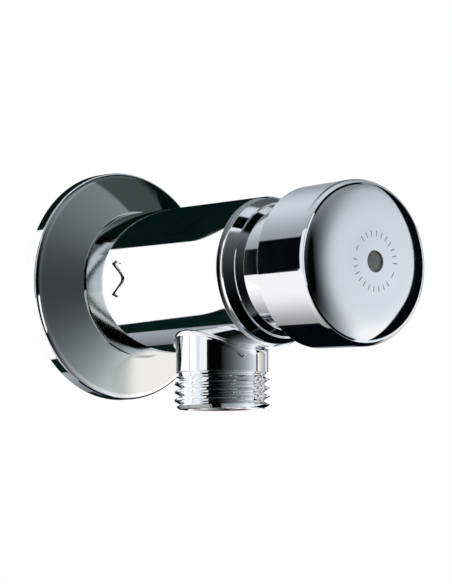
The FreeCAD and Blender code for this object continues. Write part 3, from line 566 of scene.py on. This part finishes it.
def studio_world():
    """White for the camera, soft light on surfaces, and a studio in the chrome."""
    world = bpy.data.worlds.new("studio")
    world.use_nodes = True
    bpy.context.scene.world = world
    graph = Graph(world.node_tree)
    way = graph.add("ShaderNodeTexCoord").outputs["Generated"]
    parts = graph.add("ShaderNodeSeparateXYZ", [(0, way)])
    across, depth, up = parts.outputs
    # Degrees away from the way that the button faces, to the right and up
    away = graph.math("DEGREES", graph.math("ARCCOSINE", graph.math("MULTIPLY", depth, -1.0)))
    flat, turned = polar(graph, across, up)
    flat = graph.math("MAXIMUM", flat, 0.0001)
    right = graph.math("MULTIPLY", away, graph.math("DIVIDE", across, flat))
    high = graph.math("MULTIPLY", away, graph.math("DIVIDE", up, flat))
    level = 0.002
    for place, spread, strength in SOFT_LIGHTS:
        level = graph.math("ADD", graph.glow(right, high, place, spread, strength), level)
    # A flag keeps the left dark, and the room is dark about the wall's plane, above and below
    flag = graph.glow(right, high, (-60.0, -4.0), (19.0, 50.0), 1.7)
    flag = graph.math("MINIMUM", flag, 0.98)
    level = graph.math("MULTIPLY", level, graph.math("SUBTRACT", 1.0, flag))
    dim = graph.math("ADD", graph.band(turned, 52.0, 125.0, 4.0), graph.band(turned, 212.0, 300.0, 4.0))
    dim = graph.math("MULTIPLY", graph.band(away, 89.0, 101.0, 2.0), dim)
    level = graph.math("MULTIPLY", level, graph.math("SUBTRACT", 1.0, dim))
    level = graph.math("MINIMUM", level, 1.0)
    warmth = graph.glow(right, high, (60.0, -36.0), (34.0, 30.0), 1.0)
    tint = graph.mix(warmth, (*COOL, 1.0), (*WARM, 1.0))
    studio = graph.scaled(tint, level)
    # The dark gap right of the big light, the white wall beyond it, and the one at the left
    lean = graph.math("MULTIPLY", graph.math("SUBTRACT", high, 4.0), 0.42)
    lean = graph.math("MAXIMUM", lean, graph.math("MULTIPLY", graph.math("ABSOLUTE", high), 0.15))
    lean = graph.math("SUBTRACT", right, lean)
    gap = graph.math("MULTIPLY", graph.step(lean, 49.4, 50.6), graph.band(high, -92.0, 70.0, 10.0))
    studio = graph.mix(gap, studio, BLUE_BLACK)
    right_wall = graph.math("SUBTRACT", 1.0, graph.band(turned, 13.0, 300.0, 6.0))
    right_wall = graph.math("MULTIPLY", graph.step(away, 86.0, 93.0), right_wall)
    studio = graph.mix(right_wall, studio, grey(0.95, COOL))
    start = graph.math("MULTIPLY", graph.step(turned, 134.0, 176.0), 3.1)
    left_wall = graph.step(graph.math("SUBTRACT", away, start), 94.4, 95.2)
    left_wall = graph.math("MULTIPLY", left_wall, graph.band(turned, 120.0, 208.0, 2.0))
    studio = graph.mix(left_wall, studio, grey(0.86, (0.97, 0.98, 1.07)))
    path = graph.add("ShaderNodeLightPath")
    colour = graph.mix(path.outputs["Is Glossy Ray"], grey(settings().room_light), studio)
    colour = graph.mix(path.outputs["Is Camera Ray"], colour, grey(1.0))
    light = graph.add("ShaderNodeBackground", [("Color", colour)])
    graph.add("ShaderNodeOutputWorld", [(0, light.outputs[0])])


def add_card(name, material, size, place):
    """An upright card beside the valve that only reflections show. Its size is its height and its length."""
    deselect_all()
    bpy.ops.mesh.primitive_plane_add(size=1.0, location=place, rotation=(0, math.pi / 2, 0))
    card = bpy.context.object
    card.scale = (*size, 1.0)
    settle(card, name)
    hide_card(card, material)


def add_ring(name, radius, zones):
    """A ring about the plate that only reflections show, clear but for its zones."""
    deselect_all()
    bpy.ops.mesh.primitive_cylinder_add(
        vertices=96, radius=radius, depth=0.042, end_fill_type="NOTHING", location=(0, -0.021, 0),
        rotation=(math.pi / 2, 0, 0))
    hide_card(settle(bpy.context.object, name), ring_material(name, zones))


def hide_card(card, material):
    """Give a card its light and leave it to reflections alone."""
    card.data.materials.append(material)
    card.visible_camera = False
    card.visible_diffuse = False
    card.visible_transmission = False
    card.visible_volume_scatter = False
    card.visible_shadow = False


def add_lamp(name, place, size, watts):
    """A large soft lamp that looks at the valve and shows in no reflection."""
    deselect_all()
    bpy.ops.object.light_add(type="AREA", location=place)
    lamp = bpy.context.object
    lamp.name = name
    lamp.data.shape = "DISK"
    lamp.data.size = size
    lamp.data.energy = watts
    middle = Vector((0, -0.045, 0))
    lamp.rotation_euler = (Vector(place) - middle).to_track_quat("Z", "Y").to_euler()
    lamp.visible_glossy = False
    return lamp


class VALVE_OT_stage(bpy.types.Operator):
    """Camera at the photograph's angle, floor, cards, lamps and room light"""
    bl_idname = "valve.stage"
    bl_label = "Studio"

    def execute(self, context):
        # The camera stands 0.63 m away, a little below the valve and to its left
        right = Vector((0.745166, -0.666879, -0.000033)).normalized()
        up = Vector((-0.055643, -0.062223, 0.996510)).normalized()
        back = right.cross(up)
        turned = Matrix((right, up, back)).transposed().to_4x4()
        place = Matrix.Translation((-0.402102, -0.487082, -0.053997))
        bpy.ops.object.camera_add()
        camera = bpy.context.object
        camera.name = "photo_camera"
        camera.matrix_world = place @ turned
        camera.data.sensor_fit = "VERTICAL"
        camera.data.sensor_height = 36.0
        camera.data.lens = 170.31
        camera.data.clip_start = 0.01
        context.scene.camera = camera
        studio_world()
        deselect_all()
        bpy.ops.mesh.primitive_circle_add(
            vertices=96, radius=1.6, fill_type="NGON", location=(0, 0, -0.16))
        floor = settle(bpy.context.object, "studio_floor")
        pale = soft_material("pale_floor", (0.86, 0.86, 0.86), 0.7, 30.0, 0.0, 0.99)
        floor.data.materials.append(pale)
        floor.visible_glossy = False
        deselect_all()
        bpy.ops.mesh.primitive_circle_add(
            vertices=96, radius=0.62, fill_type="NGON", location=(0, 0.06, 0), rotation=(math.pi / 2, 0, 0))
        hide_card(settle(bpy.context.object, "reflection_cards"), back_card_material())
        add_card("left_card", plain_card_material("left_card", 1.11),
                 (0.021, 0.0165), (-0.040, -0.01975, -0.0165))
        add_card("neck_card", plain_card_material("neck_card", 0.98),
                 (0.032, 0.020), (-0.060, -0.040, -0.024))
        add_card("right_card", fading_card_material("right_card", -0.080, -0.048, 0.98, 0.40, WARM),
                 (0.032, 0.032), (0.050, -0.064, -0.024))
        add_ring("hood", 0.042, [((2.0, 122.0, 8.0), (0.0, -0.008), GREEN_BLACK),
                                 ((287.0, 345.0, 24.0), (-0.004, -0.027), grey(1.36, (1.13, 1.0, 0.97)))])
        add_ring("veil", 0.075, [((-20.0, 100.0, 44.0), (-0.011, -0.036), grey(0.10, SLATE))])
        add_lamp("key_lamp", (-0.5, -0.7, 0.8), 0.6, 7.0)
        add_lamp("fill_lamp", (0.7, -0.5, 0.5), 0.8, 3.0)
        context.scene.view_settings.view_transform = "Standard"
        return {"FINISHED"}


class VALVE_OT_wall_plate(bpy.types.Operator):
    """The spun wall plate: rolled rim, dished face and hollow back"""
    bl_idname = "valve.wall_plate"
    bl_label = "Wall plate"

    def execute(self, context):
        radius = settings().plate_radius / MM
        height = settings().plate_height / MM
        plate = turn("wall_plate_shell", rounded([
            (0.0, radius - 1.0), (0.0, radius, 0.25), (height - 5.25, radius, 1.5), (height, 16.6, 0.3),
            (height, 10.5), (height - 1.0, 10.5), (height - 1.0, 16.1), (height - 6.25, radius - 1.0),
        ]))
        true_normals(plate)
        finish_piece(plate, "fixed", "chrome", FINISHES["chrome_spun"], "wall_plate")
        return {"FINISHED"}


def thread_cutter(name, start, turns):
    """A helical tool for one right-handed thread groove about Z, so many turns up from a height."""
    top = ROOT_FLAT + (THREAD_DEPTH + CUTTER_OVER) * FLANK_SLOPE
    floor = THREAD_RADIUS - THREAD_DEPTH
    crest = THREAD_RADIUS + CUTTER_OVER
    deselect_all()
    bpy.ops.mesh.primitive_circle_add(vertices=5, radius=MM)
    cutter = bpy.context.object
    corners = [(floor, -ROOT_FLAT), (crest, -top), (crest, top), (floor, ROOT_FLAT), (floor - 0.05, 0.0)]
    for vertex, (across, up) in zip(cutter.data.vertices, corners):
        vertex.co = (across * MM, 0, (start + up) * MM)
    screw = cutter.modifiers.new("helix", "SCREW")
    screw.angle = 2 * math.pi * turns
    screw.screw_offset = turns * THREAD_PITCH * MM
    screw.steps = round(120 * turns)
    screw.render_steps = round(120 * turns)
    apply_all(cutter)
    bpy.ops.object.mode_set(mode="EDIT")
    bpy.ops.mesh.select_all(action="SELECT")
    bpy.ops.mesh.remove_doubles(threshold=0.0000005)
    bpy.ops.mesh.fill_holes(sides=8)
    bpy.ops.mesh.normals_make_consistent(inside=False)
    bpy.ops.object.mode_set(mode="OBJECT")
    cutter.name = name
    return cutter


def combine(body, tool, operation):
    """Join or cut a body with a tool, then drop the tool."""
    change = body.modifiers.new("change", "BOOLEAN")
    change.operation = operation
    change.solver = "EXACT"
    change.object = tool
    apply_all(body)
    bpy.data.objects.remove(tool)


def barrel_profile():
    """The body's section about the valve's axis: nipple, neck, barrel and all the bores."""
    corners = [
        (-12.0, 8.2), (-12.0, 9.4775), (-11.0, THREAD_RADIUS), (1.0, THREAD_RADIUS), (1.0, NECK_RADIUS),
        (PLATE_FRONT, NECK_RADIUS), (PLATE_FRONT, BODY_RADIUS - 0.5), (PLATE_FRONT + 0.5, BODY_RADIUS, 0.2)]
    corners += [(place, BODY_RADIUS) for place in (12.0, 17.0, 22.0, 29.0, 36.0, 43.0)]
    corners += [
        (BODY_FRONT - 0.5, BODY_RADIUS, 0.15), (BODY_FRONT, BODY_RADIUS - 0.5), (BODY_FRONT, 14.45),
        (BODY_FRONT - 1.4, 14.45), (BODY_FRONT - 1.4, 13.15), (BODY_FRONT - 6.2, 13.15),
        (BODY_FRONT - 6.2, 12.0), (15.7, 12.0), (15.7, 7.5), (1.2, 7.5), (1.2, 8.2)]
    return rounded(corners)


# Rows of the branch's root: steps of the fillet's arc, then (way on, depth) under the barrel's skin
ROOT_STEPS = 14
ROOT_TAIL = [(0.12, 0.0015), (0.3, 0.01), (0.6, 0.05), (0.9, 1.5)]
ROOT_ROW = 0.1
ROOT_TOP = 10.0
BORE_TOP = 5.0


def root_point(across, along, row):
    """A point of the branch's root, in a direction from the branch's axis: a ball rolled round the corner."""
    ball = BODY_RADIUS + ROOT_BEND
    reach = NECK_RADIUS + ROOT_BEND
    centre = Vector((reach * across, reach * along, -math.sqrt(ball ** 2 - (reach * across) ** 2)))
    to_neck = Vector((-across, -along, 0))
    to_barrel = Vector((-centre.x, 0, -centre.z)) / ball
    angle = to_neck.angle(to_barrel)
    share = min(row / ROOT_STEPS, 1.0)
    spoke = (to_neck * math.sin((1 - share) * angle) + to_barrel * math.sin(share * angle)) / math.sin(angle)
    point = centre + spoke * ROOT_BEND
    if row > ROOT_STEPS:
        way_on, depth = ROOT_TAIL[row - ROOT_STEPS - 1]
        point += (to_barrel * to_neck.dot(to_barrel) - to_neck).normalized() * way_on
        shrink = (BODY_RADIUS - depth) / math.hypot(point.x, point.z)
        point = Vector((point.x * shrink, point.y, point.z * shrink))
    return point


def make_branch():
    """The outlet branch about its own upright axis, its top spread out onto the barrel."""
    rows = ROOT_STEPS + len(ROOT_TAIL)
    profile = [(ROOT_TOP - ROOT_ROW * row, NECK_RADIUS + ROOT_ROW * row) for row in range(rows, -1, -1)]
    low = OUTLET_DROP
    shaft = rounded([
        (ROOT_TOP, NECK_RADIUS, 0), (NECK_END, NECK_RADIUS), (NECK_END, THREAD_RADIUS - 0.7),
        (THREAD_TOP, THREAD_RADIUS - 0.7), (THREAD_TOP, THREAD_RADIUS), (low - 1.0, THREAD_RADIUS),
        (low, THREAD_RADIUS - 1.0), (low, OUTLET_BORE - 0.5), (BORE_TOP, OUTLET_BORE - 0.5, 0)])
    branch = turn("outlet_branch", profile + shaft[1:])
    branch.rotation_euler = (math.pi / 2, 0, 0)
    settle(branch, "outlet_branch")
    for vertex in branch.data.vertices:
        place = -vertex.co.z / MM
        if place > ROOT_TOP + ROOT_ROW / 2:
            continue
        across, along = Vector(vertex.co.xy).normalized()
        if place < BORE_TOP + ROOT_ROW:
            bore = OUTLET_BORE - 0.5
            point = Vector((bore * across, bore * along, -math.sqrt(14.0 ** 2 - (bore * across) ** 2)))
        else:
            point = root_point(across, along, round((ROOT_TOP - place) / ROOT_ROW))
        vertex.co = point * MM
    branch.location = (0, -OUTLET_PLACE * MM, 0)
    return true_normals(settle(branch, "outlet_branch"))


# Half of the arrow's outline each, as (place, height) on the body's left side, from tip to tip
ARROW_INNER = [(17.78, 3.14), (19.22, 2.02), (20.4, 1.05), (21.0, 0.45), (21.33, 0.0), (21.43, -0.39),
               (21.33, -0.75), (21.02, -1.2), (20.36, -1.78), (19.12, -2.71), (17.61, -3.69)]
ARROW_OUTER = [(18.95, 3.76), (21.12, 2.86), (23.4, 1.8), (25.0, 0.85), (26.0, 0.1), (26.38, -0.45),
               (26.0, -0.95), (25.0, -1.6), (23.55, -2.26), (21.27, -3.38), (19.04, -4.39)]


def arrow_point(row, share, radius, grow):
    """A point of the arrow at a radius from the valve's axis, its outline grown a little."""
    inner, outer = Vector(ARROW_INNER[row]), Vector(ARROW_OUTER[row])
    point = inner.lerp(outer, share) + (outer - inner).normalized() * grow * (2 * share - 1)
    if row in (0, len(ARROW_INNER) - 1):
        neighbour = 1 if row == 0 else row - 1
        point += (inner - Vector(ARROW_INNER[neighbour])).normalized() * grow
    return Vector((-math.sqrt(radius ** 2 - point.y ** 2), -point.x, point.y)) * MM


def make_arrow_tool(depth):
    """The tool that presses the arrow into the body: floor, steep wall and a small flare at the rim."""
    rows = len(ARROW_INNER)
    columns = 5
    layers = [(BODY_RADIUS - depth, -0.06), (BODY_RADIUS - 0.07, 0.0), (BODY_RADIUS + 0.2, 0.28)]
    deselect_all()
    bpy.ops.mesh.primitive_grid_add(x_subdivisions=columns - 1, y_subdivisions=rows - 1, size=MM)
    tool = bpy.context.object
    bpy.ops.object.mode_set(mode="EDIT")
    bpy.ops.mesh.select_all(action="SELECT")
    for _ in layers[1:]:
        bpy.ops.mesh.extrude_region_move(TRANSFORM_OT_translate={"value": (0, 0, MM)})
    bpy.ops.object.mode_set(mode="OBJECT")
    for vertex in tool.data.vertices:
        column = round((vertex.co.x / MM + 0.5) * (columns - 1))
        row = round((vertex.co.y / MM + 0.5) * (rows - 1))
        radius, grow = layers[round(vertex.co.z / MM)]
        vertex.co = arrow_point(row, column / (columns - 1), radius, grow)
    bpy.ops.object.mode_set(mode="EDIT")
    bpy.ops.mesh.select_all(action="SELECT")
    bpy.ops.mesh.normals_make_consistent(inside=False)
    bpy.ops.object.mode_set(mode="OBJECT")
    return settle(tool, "arrow_tool")


def take_normals(body, source, zone, wanted):
    """Give the body the source's own normals at the points that the test picks."""
    group = body.vertex_groups.new(name=zone)
    group.add([v.index for v in body.data.vertices if wanted(v.co / MM)], 1.0, "REPLACE")
    normals = body.modifiers.new(zone, "DATA_TRANSFER")
    normals.object = source
    normals.vertex_group = zone
    normals.use_loop_data = True
    normals.data_types_loops = {"CUSTOM_NORMAL"}
    normals.loop_mapping = "POLYINTERP_NEAREST"
    normals.use_max_distance = True
    normals.max_distance = 0.000004
    apply_all(body)
    body.vertex_groups.clear()


def is_barrel_skin(point):
    """True on the outside of the barrel, but not on the nipple's thread."""
    return -point.y > PLATE_FRONT - 0.1 and math.hypot(point.x, point.z) > BODY_RADIUS - 0.6


def is_branch_skin(point):
    """True on the outside of the branch above its thread, up to the barrel."""
    off_axis = math.hypot(point.x, point.y + OUTLET_PLACE)
    on_barrel = math.hypot(point.x, point.z) < BODY_RADIUS + 0.004
    return off_axis > NECK_RADIUS - 0.6 and -NECK_END + 0.1 < point.z < 0 and not on_barrel


class VALVE_OT_body(bpy.types.Operator):
    """The cast body: barrel, outlet branch, two pipe threads and the pressed arrow"""
    bl_idname = "valve.body"
    bl_label = "Body"

    def execute(self, context):
        barrel = true_normals(turn("barrel", barrel_profile()))
        branch = make_branch()
        make_active(barrel)
        bpy.ops.object.duplicate()
        body = bpy.context.object
        make_active(branch)
        bpy.ops.object.duplicate()
        combine(body, bpy.context.object, "UNION")
        low = OUTLET_DROP
        bore = turn("bore_tool", rounded([
            (9.8, 0.02, 0), (9.8, OUTLET_BORE, 0), (low - 0.5, OUTLET_BORE, 0.3), (low, OUTLET_BORE + 0.5, 0),
            (low + 1.0, OUTLET_BORE + 0.8, 0), (low + 1.0, 0.02, 0)]), 192)
        bore.rotation_euler = (math.pi / 2, 0, 0)
        bore.location = (0, -OUTLET_PLACE * MM, 0)
        combine(body, settle(bore, "bore_tool"), "DIFFERENCE")
        outlet = thread_cutter("outlet_tool", -OUTLET_DROP - 1.46, 4.93)
        outlet.location = (0, -OUTLET_PLACE * MM, 0)
        combine(body, settle(outlet, "outlet_tool"), "DIFFERENCE")
        inlet = thread_cutter("inlet_tool", -1.0, 8.0)
        inlet.rotation_euler = (-math.pi / 2, 0, 0)
        combine(body, settle(inlet, "inlet_tool"), "DIFFERENCE")
        combine(body, make_arrow_tool(settings().arrow_depth / MM), "DIFFERENCE")
        make_active(body)
        bpy.ops.object.shade_smooth_by_angle(angle=math.radians(26))
        take_normals(body, branch, "branch_skin", is_branch_skin)
        take_normals(body, barrel, "barrel_skin", is_barrel_skin)
        bpy.data.objects.remove(barrel)
        bpy.data.objects.remove(branch)
        settle(body, "body_shell")
        # The body's chrome carries the painted shade on the arrow's walls
        finish_piece(body, "fixed", "chrome", FINISHES["chrome_painted_arrow_shade"], "valve_body")
        return {"FINISHED"}


class VALVE_OT_bonnet(bpy.types.Operator):
    """The ringed collar and tube between body and button"""
    bl_idname = "valve.bonnet"
    bl_label = "Bonnet"

    def execute(self, context):
        seat = BODY_FRONT
        floor = BONNET_FLOOR
        front = BUTTON_FRONT - 11.4
        bonnet = turn("bonnet_shell", rounded([
            (seat - 5.8, 3.05), (seat - 5.8, 12.6), (seat - 5.4, 13.0), (seat, 13.0), (seat, 15.5),
            (seat + 0.2, 15.7), (seat + 0.9, 15.7), (seat + 3.3, 14.6), (seat + 3.3, 14.3),
            (seat + 5.0, 13.4), (front - 0.4, 13.4), (front, 13.0), (front, 11.8), (floor, 11.8),
            (floor, 6.5), (seat + 6.1, 6.5), (seat + 6.1, 5.15), (seat - 2.4, 5.15), (seat - 2.4, 3.05),
        ]))
        true_normals(bonnet)
        finish_piece(bonnet, "fixed", "chrome", FINISHES["chrome"], "bonnet")
        return {"FINISHED"}


def button_profile():
    """The cap's section: skirt, flared side, round shoulder, crowned face, bore, boss and floor."""
    radius = settings().button_radius / MM
    crown, shoulder, wide = BUTTON_CROWN, BUTTON_SHOULDER, radius + BUTTON_FLARE
    edge = BUTTON_FRONT - crown
    floor = BUTTON_FLOOR
    # The shoulder's centre stands its own radius inside both the side and the crowned face
    lean = math.atan2(wide - radius, edge - BUTTON_REAR)
    dome = (wide ** 2 + crown ** 2) / (2 * crown)
    dome_place = BUTTON_FRONT - dome
    across = wide - shoulder
    for _ in range(30):
        place = dome_place + math.sqrt((dome - shoulder) ** 2 - across ** 2)
        across = radius + (place - BUTTON_REAR) * math.tan(lean) - shoulder / math.cos(lean)
    start = 90 + math.degrees(lean)
    end = math.degrees(math.atan2(across, place - dome_place))
    corners = [(BUTTON_REAR, radius - 0.4), (BUTTON_REAR + 0.4, radius)]
    # The bend eases off gently from the shoulder to the crown, between two tangents
    turned = math.radians(end + EASE_TURN)
    tilt = math.asin((across - EASE_RUN) / dome)
    leave = Vector((place + shoulder * math.cos(turned), across + shoulder * math.sin(turned)))
    meet = Vector((dome_place + dome * math.cos(tilt), dome * math.sin(tilt)))
    reach = (meet - leave).length
    off = leave + Vector((math.sin(turned), -math.cos(turned))) * reach * EASE_PULL[0]
    on = meet - Vector((math.sin(tilt), -math.cos(tilt))) * reach * EASE_PULL[1]
    corners += [(*point, 0) for point in arc(place, across, shoulder, start, end + EASE_TURN, 26)]
    for i in range(1, 25):
        t = i / 24
        point = leave * (1 - t) ** 3 + off * (3 * t * (1 - t) ** 2)
        point = point + on * (3 * t * t * (1 - t)) + meet * t ** 3
        corners.append((*point, 0))
    for i in range(1, 19):
        r = meet.y + (2.25 - meet.y) * i / 18
        corners.append((dome_place + math.sqrt(dome ** 2 - r ** 2), r, 0.1 if i == 18 else 0))
    corners += [
        (BUTTON_FRONT - 1.35, 2.25, 0.05), (BUTTON_FRONT - 1.35, 2.0, 0.05), (BUTTON_FRONT - 5.2, 2.0, 0.05),
        (BUTTON_FRONT - 5.2, 2.5, 0.05), (floor - 9.0, 2.5), (floor - 9.0, 5.5), (floor, 5.5),
        (floor, radius - 2.4), (BUTTON_REAR, radius - 2.4)]
    return rounded(corners)


def face_height(radius):
    """How far the button's crowned face stands from the wall at a distance from its middle."""
    crown, wide = BUTTON_CROWN, settings().button_radius / MM + BUTTON_FLARE
    dome = (wide ** 2 + crown ** 2) / (2 * crown)
    return BUTTON_FRONT - dome + math.sqrt(dome ** 2 - radius ** 2)


def make_mark(name, turned, reach, width, length):
    """A shallow etched mark on the button's face, turned round its middle."""
    deselect_all()
    bpy.ops.mesh.primitive_cube_add(size=1.0)
    mark = bpy.context.object
    mark.scale = (width, 0.2 * MM, length)
    mark.location = (0, -(face_height(reach) - 0.085) * MM, reach * MM)
    settle(mark, name)
    mark.rotation_euler = (0, turned, 0)
    return settle(mark, name)


class VALVE_OT_button(bpy.types.Operator):
    """The push button, its plug and the ring of small marks on its face"""
    bl_idname = "valve.button"
    bl_label = "Push button"

    def execute(self, context):
        button = true_normals(turn("button_cap", button_profile()))
        finish_piece(button, "button", "chrome", FINISHES["chrome"], "push_button")
        rim = 2.2
        front = BUTTON_FRONT - 0.45
        steps = (1.95, 1.7, 1.4, 1.1, 0.8, 0.5, 0.25, 0.02)
        dish = [(front - 0.22 * (1 - (r / rim) ** 2), r, 0) for r in steps]
        plug = turn("plug_cap", rounded(
            [(front - 0.9, 0.02, 0), (front - 0.9, rim), (front, rim, 0.08), *dish]), 96)
        true_normals(plug)
        finish_piece(plug, "button", "plug_grey", FINISHES["plug_grey"], "button_plug")
        values = settings()
        marks = []
        for side in (0, 1):
            middle = math.radians(26 + 180 * side)
            for i in range(values.tick_count):
                turned = middle + math.radians(130) * (i / (values.tick_count - 1) - 0.5)
                marks.append(make_mark("tick", turned, 5.7, values.tick_width, values.tick_length))
            turned = middle + math.pi / 2
            marks.append(make_mark("tick", turned, 5.7, values.tick_length, values.tick_width))
        deselect_all()
        for mark in marks:
            mark.select_set(True)
        bpy.context.view_layer.objects.active = marks[0]
        bpy.ops.object.join()
        ring = settle(bpy.context.object, "face_marks")
        soften(ring, 0.00004, 2, 40)
        finish_piece(ring, "button", "chrome", FINISHES["etched"])
        return {"FINISHED"}


class VALVE_OT_spring(bpy.types.Operator):
    """The return spring: its own copy of the CAD spring, in steel"""
    bl_idname = "valve.spring"
    bl_label = "Return spring"

    def execute(self, context):
        make_active(NODES["return_spring"])
        bpy.ops.object.duplicate()
        spring = bpy.context.object
        spring.parent = None
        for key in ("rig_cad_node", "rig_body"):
            if key in spring:
                del spring[key]
        settle(spring, "spring_coil")
        finish_piece(spring, "fixed", "steel", FINISHES["steel"], "return_spring")
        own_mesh(spring)
        return {"FINISHED"}


class VALVE_OT_inner_pieces(bpy.types.Operator):
    """Finishes of the pieces inside the valve"""
    bl_idname = "valve.inner_pieces"
    bl_label = "Inner pieces"

    def execute(self, context):
        for part in frame["record"]["subparts"]:
            node = NODES[part["node"]]
            for slot in node.material_slots:
                slot.material = FINISHES[part["material_slot"]]
        return {"FINISHED"}


class VALVE_PT_panel(bpy.types.Panel):
    """Sidebar panel with the valve's pieces"""
    bl_label = "Flush valve"
    bl_idname = "VALVE_PT_panel"
    bl_space_type = "VIEW_3D"
    bl_region_type = "UI"
    bl_category = "Valve"

    def draw(self, context):
        values = context.scene.valve_settings
        for name in ValveSettings.__annotations__:
            self.layout.prop(values, name)
        for operator in OPERATORS:
            self.layout.operator(operator.bl_idname)


OPERATORS = [VALVE_OT_stage, VALVE_OT_wall_plate, VALVE_OT_body, VALVE_OT_bonnet, VALVE_OT_button,
             VALVE_OT_spring, VALVE_OT_inner_pieces]


def register():
    for part in [ValveSettings, *OPERATORS, VALVE_PT_panel]:
        bpy.utils.register_class(part)
    bpy.types.Scene.valve_settings = PointerProperty(type=ValveSettings)


def unregister():
    del bpy.types.Scene.valve_settings
    for part in reversed([ValveSettings, *OPERATORS, VALVE_PT_panel]):
        bpy.utils.unregister_class(part)


def main():
    """Build everything, in order."""
    register()
    make_finishes()
    bpy.ops.valve.inner_pieces()
    bpy.ops.valve.stage()
    bpy.ops.valve.wall_plate()
    bpy.ops.valve.body()
    bpy.ops.valve.bonnet()
    bpy.ops.valve.button()
    bpy.ops.valve.spring()


if __name__ == "__main__":
    main()
